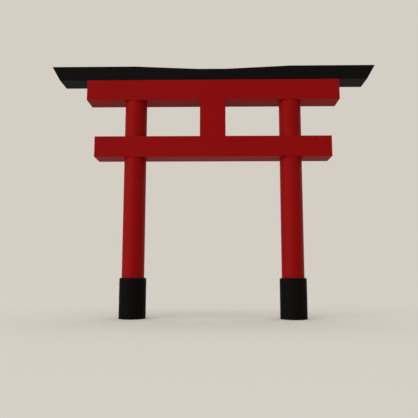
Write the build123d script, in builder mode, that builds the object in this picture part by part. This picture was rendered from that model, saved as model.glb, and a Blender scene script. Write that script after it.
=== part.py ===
"""A wooden torii gate, cut and stacked the way its carpenter would build it.

Each pillar is a round log whose square tenon runs up through the tie beam, the upper post and the
lower lintel, and ends in the top lintel.  Everything above the ground is threaded over those two
tenons or stands on the centre strut.  Millimetres, +Z up, the beams along X and the front at -Y.
The origin is on the ground, midway between the pillars.
"""

import os
from math import radians, tan

from build123d import *

# Pillars and what is cut on them
pillar_spacing = 2400.0  # between the axes of the two pillars
pillar_diameter = 336.0
passage_height = 2421.0  # from the ground to the underside of the tie beam
tenon_side = 160.0  # the square tenon at the head of each pillar
tenon_bite = 80.0  # how far that tenon goes into the top lintel
joint_clearance = 1.0  # around and above every tenon

# Sleeves round the feet
sleeve_height = 600.0
sleeve_wall = 31.5
sleeve_clearance = 0.5  # between the pillar and its sleeve
sleeve_round = 22.0  # radius along the sleeve's top edge
sleeve_seam = 2.0  # open joint between the front and back half shells

# Beams, from the lowest up; an overhang is measured from the pillar's axis
beam_depth = 348.0  # front to back, the same for every beam and for the strut
arris = 3.0  # the small chamfer along every open edge
tie_beam_height = 319.0
tie_beam_overhang = 604.0
upper_gap = 576.0  # clear height between the tie beam and the lower lintel
strut_width = 391.0
strut_tenon_width = 120.0
strut_tenon_depth = 90.0
strut_tenon_length = 70.0
lower_lintel_height = 318.0
lower_lintel_overhang = 744.0

# Top lintel and its weather boards
top_lintel_height = 198.0  # height of its front face, below the weather boards
top_lintel_overhang = 1172.0  # at its underside
end_lean = 29.6  # how far the ends lean out from upright, in degrees
dip = 45.0  # how much lower the middle of the crest lies
dip_floor = 440.0  # length of the level stretch in the middle of the crest
roof_pitch = 9.0  # slope of the crest to the front and to the back, in degrees
weather_board_thickness = 22.0
ridge_strip_width = 76.0
ridge_strip_thickness = 16.0

# Worked out from the values above
pillar_x = pillar_spacing / 2
half_depth = beam_depth / 2
mortise_side = tenon_side + 2 * joint_clearance
tie_beam_bottom = passage_height
tie_beam_top = tie_beam_bottom + tie_beam_height
lower_lintel_bottom = tie_beam_top + upper_gap
lower_lintel_top = lower_lintel_bottom + lower_lintel_height
top_lintel_bottom = lower_lintel_top
crest_height = top_lintel_bottom + top_lintel_height
tenon_top = top_lintel_bottom + tenon_bite
sides = (("left", -1), ("right", 1))
seated = (Align.CENTER, Align.CENTER, Align.MIN)


def write(builder, name):
    """Give a finished piece its name and write its file."""
    builder.part.label = name
    export_step(builder.part, f"parts/{name}.step")


def reach(height):
    """How far from the middle a leaning end of the top lintel stands at a given height."""
    return pillar_x + top_lintel_overhang + (height - top_lintel_bottom) * tan(radians(end_lean))


def crest(stretch, lift):
    """The crest line of one stretch of the top lintel, from left to right, raised by lift."""
    level = crest_height + lift
    if stretch == "left":
        return [(-reach(level), level), (-pillar_x, level)]
    if stretch == "right":
        return [(pillar_x, level), (reach(level), level)]
    low = level - dip
    return [(-pillar_x, level), (-dip_floor / 2, low), (dip_floor / 2, low), (pillar_x, level)]


def underside(stretch):
    """The straight lower line of one stretch of the top lintel, from left to right."""
    ends = {"left": (-reach(top_lintel_bottom), -pillar_x),
            "middle": (-pillar_x, pillar_x),
            "right": (pillar_x, reach(top_lintel_bottom))}
    return [(x, top_lintel_bottom) for x in ends[stretch]]


def elevation(y, lower, upper):
    """The front view of a piece between two lines, drawn on the upright plane at y."""
    with BuildSketch(Plane.XZ.offset(-y)) as section:
        with BuildLine():
            Polyline(*lower, *reversed(upper), close=True)
        make_face()
    return section.sketch


def lift_at(y):
    """How much the roof slope has risen at y, counted from the front and back faces."""
    return (half_depth - abs(y)) * tan(radians(roof_pitch))


os.makedirs("parts", exist_ok=True)

# Pillars: a round log from the ground to the tie beam, and its tenon from there to the top lintel
for side, sign in sides:
    with BuildPart() as pillar:
        with BuildSketch():
            with Locations((sign * pillar_x, 0)):
                Circle(pillar_diameter / 2)
        extrude(amount=passage_height)
        with BuildSketch(Plane.XY.offset(passage_height)):
            with Locations((sign * pillar_x, 0)):
                Rectangle(tenon_side, tenon_side)
        extrude(amount=tenon_top - passage_height)
        chamfer(pillar.edges().group_by(Axis.Z)[-1], arris)
    write(pillar, f"{side}_pillar")

# Foot sleeves: a front and a back half shell round each pillar, rounded along the top
for side, sign in sides:
    for half, kept, forward in (("front", Keep.TOP, 1), ("back", Keep.BOTTOM, -1)):
        with BuildPart() as sleeve:
            with BuildSketch():
                with Locations((sign * pillar_x, 0)):
                    Circle(pillar_diameter / 2 + sleeve_clearance + sleeve_wall)
                    Circle(pillar_diameter / 2 + sleeve_clearance, mode=Mode.SUBTRACT)
            extrude(amount=sleeve_height)
            top_edges = sleeve.edges().filter_by(GeomType.CIRCLE).group_by(Axis.Z)[-1]
            fillet(top_edges.sort_by(SortBy.RADIUS)[-1], min(sleeve_round, 0.9 * sleeve_wall))
            split(bisect_by=Plane.XZ.offset(forward * sleeve_seam / 2), keep=kept)
        write(sleeve, f"{side}_sleeve_{half}")

# Tie beam: one timber across both pillars, mortised for their tenons and for the strut's foot
with BuildPart() as tie_beam:
    with Locations((0, 0, tie_beam_bottom)):
        Box(pillar_spacing + 2 * tie_beam_overhang, beam_depth, tie_beam_height, align=seated)
    chamfer(tie_beam.edges(), arris)
    with Locations((-pillar_x, 0, tie_beam_bottom), (pillar_x, 0, tie_beam_bottom)):
        Box(mortise_side, mortise_side, tie_beam_height, align=seated, mode=Mode.SUBTRACT)
    with Locations((0, 0, tie_beam_top - strut_tenon_length - joint_clearance)):
        Box(strut_tenon_width + 2 * joint_clearance, strut_tenon_depth + 2 * joint_clearance,
            strut_tenon_length + joint_clearance, align=seated, mode=Mode.SUBTRACT)
write(tie_beam, "tie_beam")

# Upper posts: round drums threaded over the tenons, between the tie beam and the lower lintel
for side, sign in sides:
    with BuildPart() as upper_post:
        with BuildSketch(Plane.XY.offset(tie_beam_top)):
            with Locations((sign * pillar_x, 0)):
                Circle(pillar_diameter / 2)
                Rectangle(mortise_side, mortise_side, mode=Mode.SUBTRACT)
        extrude(amount=upper_gap)
    write(upper_post, f"{side}_upper_post")

# Centre strut: a square post between the same two beams, with a stub tenon at each end
with BuildPart() as centre_strut:
    with Locations((0, 0, tie_beam_top)):
        Box(strut_width, beam_depth, upper_gap, align=seated)
    chamfer(centre_strut.edges().filter_by(Axis.Z), arris)
    with Locations((0, 0, tie_beam_top - strut_tenon_length)):
        Box(strut_tenon_width, strut_tenon_depth, upper_gap + 2 * strut_tenon_length, align=seated)
write(centre_strut, "centre_strut")

# Lower lintel: two halves that meet over the strut, each threaded over one pillar's tenon
for side, sign in sides:
    inner_end = Align.MIN if sign > 0 else Align.MAX
    with BuildPart() as lower_lintel:
        with Locations((0, 0, lower_lintel_bottom)):
            Box(pillar_x + lower_lintel_overhang, beam_depth, lower_lintel_height,
                align=(inner_end, Align.CENTER, Align.MIN))
        chamfer(lower_lintel.edges().filter_by(Axis.X), arris)
        chamfer(lower_lintel.faces().sort_by(Axis.X)[-1 if sign > 0 else 0].edges(), arris)
        with Locations((sign * pillar_x, 0, lower_lintel_bottom)):
            Box(mortise_side, mortise_side, lower_lintel_height, align=seated, mode=Mode.SUBTRACT)
        with Locations((0, 0, lower_lintel_bottom)):
            Box(strut_tenon_width + 2 * joint_clearance, strut_tenon_depth + 2 * joint_clearance,
                strut_tenon_length + joint_clearance, align=seated, mode=Mode.SUBTRACT)
    write(lower_lintel, f"lower_lintel_{side}")

# Top lintel: three lengths that meet over the pillars, with a crest that sinks towards the middle
for stretch in ("left", "middle", "right"):
    sections = [elevation(y, underside(stretch), crest(stretch, lift_at(y)))
                for y in (-half_depth, 0, half_depth)]
    with BuildPart() as top_lintel:
        loft(sections, ruled=True)
        chamfer(top_lintel.edges().filter_by(Axis.X).group_by(Axis.Z)[0], arris)
        with Locations((-pillar_x, 0, top_lintel_bottom), (pillar_x, 0, top_lintel_bottom)):
            Box(mortise_side, mortise_side, tenon_bite + joint_clearance, align=seated,
                mode=Mode.SUBTRACT)
    write(top_lintel, f"top_lintel_{stretch}")

# Weather boards: one down each slope of the crest, flush with the lintel's front and back
for stretch in ("left", "middle", "right"):
    for slope, sign in (("front", -1), ("back", 1)):
        sections = [elevation(y, crest(stretch, lift_at(y)),
                              crest(stretch, lift_at(y) + weather_board_thickness))
                    for y in (0, sign * half_depth)]
        with BuildPart() as weather_board:
            loft(sections, ruled=True)
        write(weather_board, f"weather_board_{slope}_{stretch}")

# Ridge strips: a batten over the seam between the front and back boards
for stretch in ("left", "middle", "right"):
    sections = [elevation(y, crest(stretch, lift_at(y) + weather_board_thickness),
                          crest(stretch, lift_at(y) + weather_board_thickness + ridge_strip_thickness))
                for y in (-ridge_strip_width / 2, 0, ridge_strip_width / 2)]
    with BuildPart() as ridge_strip:
        loft(sections, ruled=True)
    write(ridge_strip, f"ridge_strip_{stretch}")
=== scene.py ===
"""A lacquered torii gate, dressed on its packed timber frame.

The timbers come from the frame and keep their own shape.  This script gives each one its finish,
adds the nails that fasten the boards and sleeves, and sets up the floor, the light and the camera.
Metres, +Z up, the beams along X and the front at -Y.
"""

import math

import bpy
from mathutils import Matrix, Vector

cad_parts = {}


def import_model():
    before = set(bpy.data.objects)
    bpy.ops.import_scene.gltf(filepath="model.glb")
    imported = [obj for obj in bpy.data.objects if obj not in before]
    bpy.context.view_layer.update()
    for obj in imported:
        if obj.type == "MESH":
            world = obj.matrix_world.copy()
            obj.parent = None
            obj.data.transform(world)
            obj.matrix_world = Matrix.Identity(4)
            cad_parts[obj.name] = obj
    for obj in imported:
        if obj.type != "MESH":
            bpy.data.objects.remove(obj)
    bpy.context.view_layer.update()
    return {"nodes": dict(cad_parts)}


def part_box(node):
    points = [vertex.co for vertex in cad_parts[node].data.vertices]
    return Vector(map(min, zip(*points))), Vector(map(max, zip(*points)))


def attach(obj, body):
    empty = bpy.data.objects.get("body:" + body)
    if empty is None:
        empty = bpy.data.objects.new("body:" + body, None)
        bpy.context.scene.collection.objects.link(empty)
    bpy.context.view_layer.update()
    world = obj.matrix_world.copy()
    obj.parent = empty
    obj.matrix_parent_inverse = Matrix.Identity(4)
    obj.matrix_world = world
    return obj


# Finishes, as linear colours
RED = (0.246, 0.0036, 0.0036, 1)
BLACK = (0.0052, 0.0046, 0.0040, 1)
DUST = (0.30, 0.27, 0.24, 1)
NAIL_IRON = (0.0075, 0.0068, 0.006, 1)
FLOOR = (0.78, 0.735, 0.665, 1)
BACKGROUND = (0.66, 0.62, 0.56, 1)

# Coats of lacquer: how glossy and how uneven each is, how far the timber stands out, and the dust on it
RED_COAT = {"gloss": 0.026, "uneven": 0.18, "relief": 0.5, "dust": 0.12}
CREST_COAT = {"gloss": 0.022, "uneven": 0.18, "relief": 0.7, "dust": 0.05}
SLEEVE_COAT = {"gloss": 0.010, "uneven": 0.18, "relief": 0.7, "dust": 0.05}
COAT_ROUGHNESS = (0.40, 0.54)  # in its darkest places, and in its palest
FIGURE_HEIGHT = 0.00075

# The figure of the timber, whose length is X here
RING_SCALE = 40.0  # a growth ring about every 8 mm
DRIFT_STRETCH = (0.14, 1.5, 1.5)
DRIFT = 0.12  # how far the rings wander from true circles
FIBRE_STRETCH = (1.2, 46, 46)

# Every timber comes from its own log, this far along the figure from the one before
LOG_LENGTH = 7.3
BEAMS = ("tie_beam", "lower_lintel_left", "lower_lintel_right")
UPRIGHTS = ("left_pillar", "right_pillar", "left_upper_post", "right_upper_post", "centre_strut")

# How far a timber's pith lies from its middle: in y and z, or in x and y where the timber stands
BEAM_PITH = (0.03, -0.05)
UPRIGHT_PITH = (0.05, 0.04)
CREST_PITH = (-0.02, -0.12)

# Nails: how far a head reaches, and how far the rows stand from an edge or from the sleeves' seams
BOARD_NAIL = {"radius": 0.009, "rise": 0.0045}
RIDGE_NAIL = {"radius": 0.007, "rise": 0.003}
SLEEVE_NAIL = {"radius": 0.011, "rise": 0.0035}
NAIL_SPACING = 0.30
EDGE_MARGIN = 0.025
END_MARGIN = 0.045
SEAM_MARGIN = 0.028
SLEEVE_NAIL_HEIGHTS = (0.08, 0.30, 0.52)

# A head's rim, in parts of its rise, and its crown's steps inwards and up, in parts of radius and rise
RIM_SUNK = 0.2
RIM_RISE = 0.4
CROWN_STEPS = ((0.18, 0.28), (0.30, 0.22), (0.32, 0.10))
HAMMERED_ROUGHNESS = (0.52, 0.38)  # in the dimples, and on the high spots between them
DIMPLE_DEPTH = 0.001
IRON_GLOSS = 0.2

# The floor, and the stretch over which it fades into the background
FLOOR_RADIUS = 80
FADE_FROM = 6.0
FADE_TO = 22.0

# The lights; an azimuth is counted from the front to the right, and a level of 1 shows a colour as it is
SKY_LEVEL = 0.42
SIDE_SOFTBOX = {"azimuth": -50, "width": 120, "height": 22, "distance": 80, "level": 0.76}
REAR_SOFTBOX = {"azimuth": 120, "width": 50, "height": 16, "distance": 40, "level": 0.14}
OVERHEAD_SOFTBOX = {"spread": 60, "level": 0.35}

# The camera stands in front of the gate, a little right of its middle, at the sleeves' height
CAMERA_PLACE = (0.0874, -7.5098, 0.641)
CAMERA_TURN = math.radians(1.109)
CAMERA_TILT = math.radians(7.584)
CAMERA_ROLL = math.radians(0.065)
CAMERA_LENS = 42.77
CAMERA_SENSOR = 36.0


# ---------------------------------------------------------------- node helpers

def feed(tree, node, inputs):
    """Set or link inputs of a node, given by name or number."""
    for name, value in inputs.items():
        if isinstance(value, bpy.types.NodeSocket):
            tree.links.new(value, node.inputs[name])
        else:
            node.inputs[name].default_value = value


def add_node(tree, kind, inputs=None, **settings):
    """Add a node, set its own properties, then set or link its inputs."""
    node = tree.nodes.new(kind)
    for name, value in settings.items():
        setattr(node, name, value)
    feed(tree, node, inputs or {})
    return node


def calculate(tree, operation, *values):
    """The result of a Math node."""
    node = add_node(tree, "ShaderNodeMath", dict(enumerate(values)), operation=operation)
    return node.outputs["Value"]


def vector_math(tree, operation, *values):
    """The outputs of a Vector Math node."""
    return add_node(tree, "ShaderNodeVectorMath", dict(enumerate(values)), operation=operation).outputs


def scale(tree, vector, factor):
    """A vector or colour, multiplied by a number."""
    node = add_node(tree, "ShaderNodeVectorMath", {0: vector, "Scale": factor}, operation="SCALE")
    return node.outputs["Vector"]


def remap(tree, value, span, target=(0.0, 1.0), **settings):
    """A value taken from one span of numbers to another, and held at its ends."""
    inputs = {"Value": value, "From Min": span[0], "From Max": span[1],
              "To Min": target[0], "To Max": target[1]}
    return add_node(tree, "ShaderNodeMapRange", inputs, **settings).outputs["Result"]


def mix(tree, factor, first, second, **settings):
    """Two values or colours mixed by a factor."""
    inputs = {"Factor": factor, "A": first, "B": second}
    return add_node(tree, "ShaderNodeMix", inputs, **settings).outputs["Result"]


def noise(tree, vector, grain, detail, roughness=0.5):
    """A noise texture on a vector."""
    inputs = {"Vector": vector, "Scale": grain, "Detail": detail, "Roughness": roughness}
    return add_node(tree, "ShaderNodeTexNoise", inputs)


def new_group(name, inputs, outputs):
    """An empty shader node group with named sockets, as (tree, inputs node, outputs node)."""
    tree = bpy.data.node_groups.new(name, "ShaderNodeTree")
    for socket, kind in inputs.items():
        tree.interface.new_socket(name=socket, in_out="INPUT", socket_type="NodeSocket" + kind)
    for socket, kind in outputs.items():
        tree.interface.new_socket(name=socket, in_out="OUTPUT", socket_type="NodeSocket" + kind)
    return tree, tree.nodes.new("NodeGroupInput"), tree.nodes.new("NodeGroupOutput")


def use_group(tree, group, inputs):
    """The outputs of a node group placed in a material."""
    return add_node(tree, "ShaderNodeGroup", inputs, node_tree=group).outputs


def new_material(name):
    """A node material that is still empty, as (material, tree)."""
    material = bpy.data.materials.new(name)
    material.use_nodes = True
    material.node_tree.nodes.clear()
    return material, material.node_tree


def add_shader(tree, inputs):
    """The Principled shader of a material, with its inputs set or linked."""
    shader = add_node(tree, "ShaderNodeBsdfPrincipled", inputs)
    add_node(tree, "ShaderNodeOutputMaterial", {"Surface": shader.outputs["BSDF"]})


# ---------------------------------------------------------------- shared effects

def make_timber_figure():
    """Sawn timber: growth rings round X that run out into lines along the faces, and fine fibres.

    Rings is their shade, Swell their height, which rises and falls evenly across each ring.
    """
    tree, given, out = new_group("timber_figure", {"Vector": "Vector"},
                                 {"Rings": "Float", "Swell": "Float", "Fibres": "Float"})
    log = given.outputs["Vector"]
    slow = add_node(tree, "ShaderNodeMapping", {"Vector": log, "Scale": DRIFT_STRETCH})
    wander = noise(tree, slow.outputs["Vector"], 2.0, 2.0)
    centred = vector_math(tree, "SUBTRACT", wander.outputs["Color"], (0.5, 0.5, 0.5))["Vector"]
    grown = vector_math(tree, "ADD", log, scale(tree, centred, DRIFT))["Vector"]
    rings = add_node(tree, "ShaderNodeTexWave",
                     {"Vector": grown, "Scale": RING_SCALE, "Distortion": 1.2, "Detail": 2.0,
                      "Detail Scale": 0.5, "Detail Roughness": 0.6},
                     wave_type="RINGS", rings_direction="X", wave_profile="SAW")
    drawn = add_node(tree, "ShaderNodeMapping", {"Vector": log, "Scale": FIBRE_STRETCH})
    fibres = noise(tree, drawn.outputs["Vector"], 3.0, 6.0, 0.6)
    feed(tree, out, {"Rings": rings.outputs["Fac"],
                     "Swell": calculate(tree, "PINGPONG", rings.outputs["Fac"], 0.5),
                     "Fibres": fibres.outputs["Fac"]})
    return tree


def make_cut_face():
    """A mask of the faces cut across the timber, whose length runs along Axis."""
    tree, given, out = new_group("cut_face", {"Axis": "Vector"}, {"Mask": "Float"})
    facing = add_node(tree, "ShaderNodeNewGeometry")
    along = vector_math(tree, "DOT_PRODUCT", facing.outputs["Normal"], given.outputs["Axis"])["Value"]
    either_end = calculate(tree, "ABSOLUTE", along)
    feed(tree, out, {"Mask": remap(tree, either_end, (0.7, 0.85))})
    return tree


def make_settled_dust():
    """A thin veil of dust on faces that look upwards, thickest on level ones and drawn along Grain."""
    tree, given, out = new_group("settled_dust", {"Vector": "Vector", "Grain": "Float", "Amount": "Float"},
                                 {"Dust": "Float"})
    facing = add_node(tree, "ShaderNodeNewGeometry")
    parts = add_node(tree, "ShaderNodeSeparateXYZ", {"Vector": facing.outputs["Normal"]})
    level = remap(tree, parts.outputs["Z"], (0.5, 1.0))
    cloud = noise(tree, given.outputs["Vector"], 9.0, 8.0, 0.65)
    caught = calculate(tree, "ADD", cloud.outputs["Fac"], given.outputs["Grain"])
    patchy = remap(tree, caught, (0.5, 1.5), (0.35, 1.0))
    veil = calculate(tree, "MULTIPLY", level, patchy)
    feed(tree, out, {"Dust": calculate(tree, "MULTIPLY", veil, given.outputs["Amount"])})
    return tree


def make_lacquer_tone():
    """Hand-laid lacquer: slow changes of depth, and a faint darkening where it sinks into the figure."""
    tree, given, out = new_group(
        "lacquer_tone",
        {"Vector": "Vector", "Colour": "Color", "Figure": "Float", "Unevenness": "Float"},
        {"Colour": "Color", "Roughness": "Float"})
    pools = noise(tree, given.outputs["Vector"], 1.6, 5.0, 0.55)
    both = calculate(tree, "ADD", pools.outputs["Fac"], given.outputs["Figure"])
    centred = calculate(tree, "SUBTRACT", both, 1.0)
    shift = calculate(tree, "MULTIPLY", centred, given.outputs["Unevenness"])
    gain = calculate(tree, "ADD", shift, 1.0)
    feed(tree, out, {"Colour": scale(tree, given.outputs["Colour"], gain),
                     "Roughness": remap(tree, both, (0.6, 1.4), COAT_ROUGHNESS)})
    return tree


def make_effects():
    """The node groups that the lacquers share, by name."""
    return {"timber_figure": make_timber_figure(), "cut_face": make_cut_face(),
            "settled_dust": make_settled_dust(), "lacquer_tone": make_lacquer_tone()}


# ---------------------------------------------------------------- finishes

def lacquer(name, effects, colour, coat, pith, turn=(0, 0, 0), axis=(1, 0, 0)):
    """Lacquer over planed timber.

    pith is a point on the timber's own pith, turn brings its length to X, and axis is its length.
    """
    material, tree = new_material(name)
    place = add_node(tree, "ShaderNodeTexCoord").outputs["Object"]
    timber = add_node(tree, "ShaderNodeMapping", {"Vector": place, "Location": pith, "Rotation": turn},
                      vector_type="TEXTURE")
    figure = use_group(tree, effects["timber_figure"], {"Vector": timber.outputs["Vector"]})
    cut = use_group(tree, effects["cut_face"], {"Axis": axis})["Mask"]

    # A face along the timber shows rings and fibres, and a cut end only rings
    along = mix(tree, 0.5, figure["Fibres"], figure["Rings"])
    sealed = calculate(tree, "MULTIPLY_ADD", figure["Rings"], 0.4, 0.3)
    pattern = mix(tree, cut, along, sealed)
    tone = use_group(tree, effects["lacquer_tone"],
                     {"Vector": place, "Colour": colour, "Figure": pattern, "Unevenness": coat["uneven"]})
    veil = use_group(tree, effects["settled_dust"],
                     {"Vector": place, "Grain": pattern, "Amount": coat["dust"]})
    dusted = mix(tree, veil["Dust"], tone["Colour"], DUST, data_type="RGBA")

    ridges = mix(tree, cut, figure["Fibres"], 0.5)
    raised = calculate(tree, "ADD", ridges, figure["Swell"])
    bump = add_node(tree, "ShaderNodeBump",
                    {"Height": raised, "Strength": coat["relief"], "Distance": FIGURE_HEIGHT})
    add_shader(tree, {"Base Color": dusted, "Roughness": tone["Roughness"], "Normal": bump.outputs["Normal"],
                      "Specular IOR Level": coat["gloss"]})
    return material


def painted_iron(name):
    """Forged iron under thin black paint: dimpled by the hammer, a little glossier on the high spots."""
    material, tree = new_material(name)
    place = add_node(tree, "ShaderNodeTexCoord").outputs["Object"]
    dimples = noise(tree, place, 240.0, 2.0, 0.4).outputs["Fac"]
    worn = remap(tree, dimples, (0.3, 0.7), HAMMERED_ROUGHNESS)
    bump = add_node(tree, "ShaderNodeBump", {"Height": dimples, "Strength": 0.5, "Distance": DIMPLE_DEPTH})
    add_shader(tree, {"Base Color": NAIL_IRON, "Roughness": worn, "Normal": bump.outputs["Normal"],
                      "Specular IOR Level": IRON_GLOSS})
    return material


def floor_finish(name):
    """A matt pale floor that fades into the background a long way out."""
    material, tree = new_material(name)
    place = add_node(tree, "ShaderNodeTexCoord").outputs["Object"]
    distance = vector_math(tree, "LENGTH", place)["Value"]
    far = remap(tree, distance, (FADE_FROM, FADE_TO), interpolation_type="SMOOTHSTEP")
    near = add_node(tree, "ShaderNodeBsdfDiffuse", {"Color": FLOOR})
    haze = add_node(tree, "ShaderNodeEmission", {"Color": BACKGROUND, "Strength": 1.0})
    both = add_node(tree, "ShaderNodeMixShader",
                    {0: far, 1: near.outputs["BSDF"], 2: haze.outputs["Emission"]})
    add_node(tree, "ShaderNodeOutputMaterial", {"Surface": both.outputs["Shader"]})
    return material


# ---------------------------------------------------------------- stage, light and camera

def lay_floor():
    """A wide round floor at ground level."""
    bpy.ops.object.select_all(action="DESELECT")
    bpy.ops.mesh.primitive_circle_add(vertices=96, radius=FLOOR_RADIUS, fill_type="NGON", location=(0, 0, 0))
    floor = bpy.context.object
    floor.name = "floor"
    floor.data.materials.append(floor_finish("pale_floor"))


def light_world():
    """An even sky light, and the pale background that the camera and reflections see."""
    world = bpy.data.worlds.new("studio")
    bpy.context.scene.world = world
    world.use_nodes = True
    tree = world.node_tree
    tree.nodes.clear()
    path = add_node(tree, "ShaderNodeLightPath").outputs
    seen = calculate(tree, "MAXIMUM", path["Is Camera Ray"], path["Is Glossy Ray"])
    shown = calculate(tree, "MAXIMUM", seen, path["Is Transmission Ray"])
    sky = add_node(tree, "ShaderNodeBackground", {"Color": (1, 1, 1, 1), "Strength": SKY_LEVEL})
    backdrop = add_node(tree, "ShaderNodeBackground", {"Color": BACKGROUND, "Strength": 1.0})
    both = add_node(tree, "ShaderNodeMixShader",
                    {0: shown, 1: sky.outputs["Background"], 2: backdrop.outputs["Background"]})
    add_node(tree, "ShaderNodeOutputWorld", {"Surface": both.outputs["Shader"]})


def add_softbox(name, azimuth, width, height, distance, level):
    """An upright softbox standing on the ground and facing the gate."""
    lamp = bpy.data.lights.new(name, "AREA")
    lamp.shape = "RECTANGLE"
    lamp.size = width
    lamp.size_y = height
    lamp.energy = level * (math.pi * distance) ** 2
    turn = math.radians(azimuth)
    holder = bpy.data.objects.new(name, lamp)
    holder.location = (distance * math.sin(turn), -distance * math.cos(turn), height / 2)
    holder.rotation_euler = (math.radians(90), 0, turn)
    holder.visible_camera = False
    bpy.context.scene.collection.objects.link(holder)


def add_overhead(name, spread, level):
    """A broad, even light from straight above."""
    lamp = bpy.data.lights.new(name, "SUN")
    lamp.angle = math.radians(spread)
    lamp.energy = level * math.pi
    bpy.context.scene.collection.objects.link(bpy.data.objects.new(name, lamp))


def place_camera():
    """The camera, at the height of the sleeves' tops and tilted up at the gate."""
    data = bpy.data.cameras.new("camera")
    data.lens = CAMERA_LENS
    data.sensor_width = CAMERA_SENSOR
    camera = bpy.data.objects.new("camera", data)
    turn = Matrix.Rotation(CAMERA_TURN, 4, "Z")
    tilt = Matrix.Rotation(math.radians(90) + CAMERA_TILT, 4, "X")
    roll = Matrix.Rotation(CAMERA_ROLL, 4, "Z")
    camera.matrix_world = Matrix.Translation(CAMERA_PLACE) @ turn @ tilt @ roll
    bpy.context.scene.collection.objects.link(camera)
    bpy.context.scene.camera = camera


# ---------------------------------------------------------------- the timbers

def finish_timbers(nodes):
    """Give every timber of the frame its lacquer."""
    effects = make_effects()
    standing = {"turn": (0, math.radians(90), 0), "axis": (0, 0, 1)}
    for log, (name, node) in enumerate(nodes.items()):
        low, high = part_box(name)
        x, y, z = [(a + b) / 2 for a, b in zip(low, high)]
        along = log * LOG_LENGTH
        if name in BEAMS:
            pith = (along, y + BEAM_PITH[0], z + BEAM_PITH[1])
            finish = lacquer("red_" + name, effects, RED, RED_COAT, pith)
        elif name in UPRIGHTS:
            pith = (x + UPRIGHT_PITH[0], y + UPRIGHT_PITH[1], along)
            finish = lacquer("red_" + name, effects, RED, RED_COAT, pith, **standing)
        elif "sleeve" in name:
            pith = (x, 0, along)
            finish = lacquer("black_" + name, effects, BLACK, SLEEVE_COAT, pith, **standing)
        else:
            pith = (along, y + CREST_PITH[0], z + CREST_PITH[1])
            finish = lacquer("black_" + name, effects, BLACK, CREST_COAT, pith)
        node.data.materials.clear()
        node.data.materials.append(finish)


# ---------------------------------------------------------------- the nails

def select_faces(piece, chosen):
    """Select only the faces of a mesh that pass a test, and stay in edit mode."""
    bpy.ops.object.mode_set(mode="EDIT")
    bpy.ops.mesh.select_mode(type="FACE")
    bpy.ops.mesh.select_all(action="DESELECT")
    bpy.ops.object.mode_set(mode="OBJECT")
    for face in piece.data.polygons:
        face.select = chosen(face)
    bpy.ops.object.mode_set(mode="EDIT")


def forge_nail_head(radius, rise):
    """A round nail head on the ground plane, its rim sunk a little and its crown hammered to a low dome."""
    bpy.ops.object.select_all(action="DESELECT")
    middle = (RIM_RISE - RIM_SUNK) / 2 * rise
    bpy.ops.mesh.primitive_cylinder_add(vertices=12, radius=radius, depth=(RIM_RISE + RIM_SUNK) * rise,
                                        location=(0, 0, middle))
    head = bpy.context.object
    select_faces(head, lambda face: face.normal.z > 0.9)
    for inwards, up in CROWN_STEPS:
        bpy.ops.mesh.inset(thickness=inwards * radius, depth=up * rise)
    bpy.ops.object.mode_set(mode="OBJECT")
    bpy.ops.object.shade_smooth_by_angle(angle=math.radians(50))
    return head


def drive_nails(name, head, spots, finish):
    """Copy a nail head to every spot, a place and the way it faces, and join the copies into one piece."""
    copies = []
    for place, outward in spots:
        copy = bpy.data.objects.new(name, head.data.copy())
        bpy.context.scene.collection.objects.link(copy)
        copy.data.transform(Matrix.Translation(place) @ outward.to_track_quat("Z", "Y").to_matrix().to_4x4())
        copies.append(copy)
    bpy.ops.object.select_all(action="DESELECT")
    for copy in copies:
        copy.select_set(True)
    bpy.context.view_layer.objects.active = copies[0]
    bpy.ops.object.join()
    row = bpy.context.object
    row.data.materials.append(finish)
    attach(row, "root")


def toward(low, high):
    """The side of the gate that a piece is on: 1 at the back and -1 at the front."""
    return 1 if high[1] > -low[1] else -1


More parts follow.
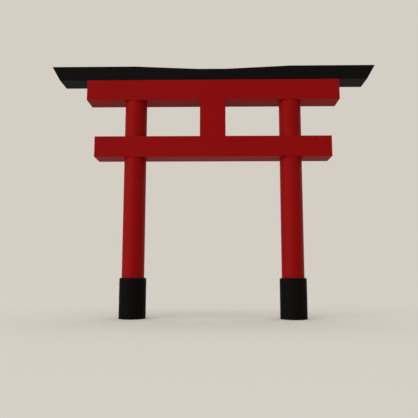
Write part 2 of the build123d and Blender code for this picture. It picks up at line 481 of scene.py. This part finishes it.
def spots_along(node, name, rows):
    """Evenly spaced spots on the upper side of a board or strip, in rows that run along X at each y."""
    low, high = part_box(name)
    start = low[0] + END_MARGIN
    length = high[0] - END_MARGIN - start
    gaps = round(length / NAIL_SPACING)
    spots = []
    for y in rows:
        for step in range(gaps + 1):
            above = Vector((start + length * step / gaps, y, high[2] + 1))
            hit, place, outward, _ = node.ray_cast(above, Vector((0, 0, -1)))
            if hit:
                spots.append((place, outward))
    return spots


def spots_beside_seams(node, name):
    """Spots beside the two upright seams of a half shell, at three heights."""
    low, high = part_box(name)
    centre = (low[0] + high[0]) / 2
    spots = []
    for side in (-1, 1):
        for height in SLEEVE_NAIL_HEIGHTS:
            outside = Vector((centre + side, toward(low, high) * SEAM_MARGIN, height))
            hit, place, outward, _ = node.ray_cast(outside, Vector((-side, 0, 0)))
            if hit:
                spots.append((place, outward))
    return spots


def nail_gate(nodes):
    """Nail down the weather boards, the ridge strips and the half shells of the sleeves."""
    iron = painted_iron("nail_iron")
    board_head = forge_nail_head(**BOARD_NAIL)
    ridge_head = forge_nail_head(**RIDGE_NAIL)
    sleeve_head = forge_nail_head(**SLEEVE_NAIL)
    strip_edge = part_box("ridge_strip_middle")[1][1]
    for name, node in nodes.items():
        low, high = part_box(name)
        if name.startswith("weather_board"):
            side = toward(low, high)
            eave = max(high[1], -low[1])
            rows = (side * (strip_edge + EDGE_MARGIN), side * (eave - EDGE_MARGIN))
            drive_nails("nails_" + name, board_head, spots_along(node, name, rows), iron)
        elif name.startswith("ridge_strip"):
            rows = (-strip_edge / 2, strip_edge / 2)
            drive_nails("nails_" + name, ridge_head, spots_along(node, name, rows), iron)
        elif "sleeve" in name:
            drive_nails("nails_" + name, sleeve_head, spots_beside_seams(node, name), iron)
    for head in (board_head, ridge_head, sleeve_head):
        bpy.data.objects.remove(head)


def main():
    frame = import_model()
    bpy.context.scene.view_settings.view_transform = "Standard"

    finish_timbers(frame["nodes"])
    nail_gate(frame["nodes"])
    lay_floor()
    light_world()
    add_softbox("side_softbox", **SIDE_SOFTBOX)
    add_softbox("rear_softbox", **REAR_SOFTBOX)
    add_overhead("overhead_softbox", **OVERHEAD_SOFTBOX)
    place_camera()


main()
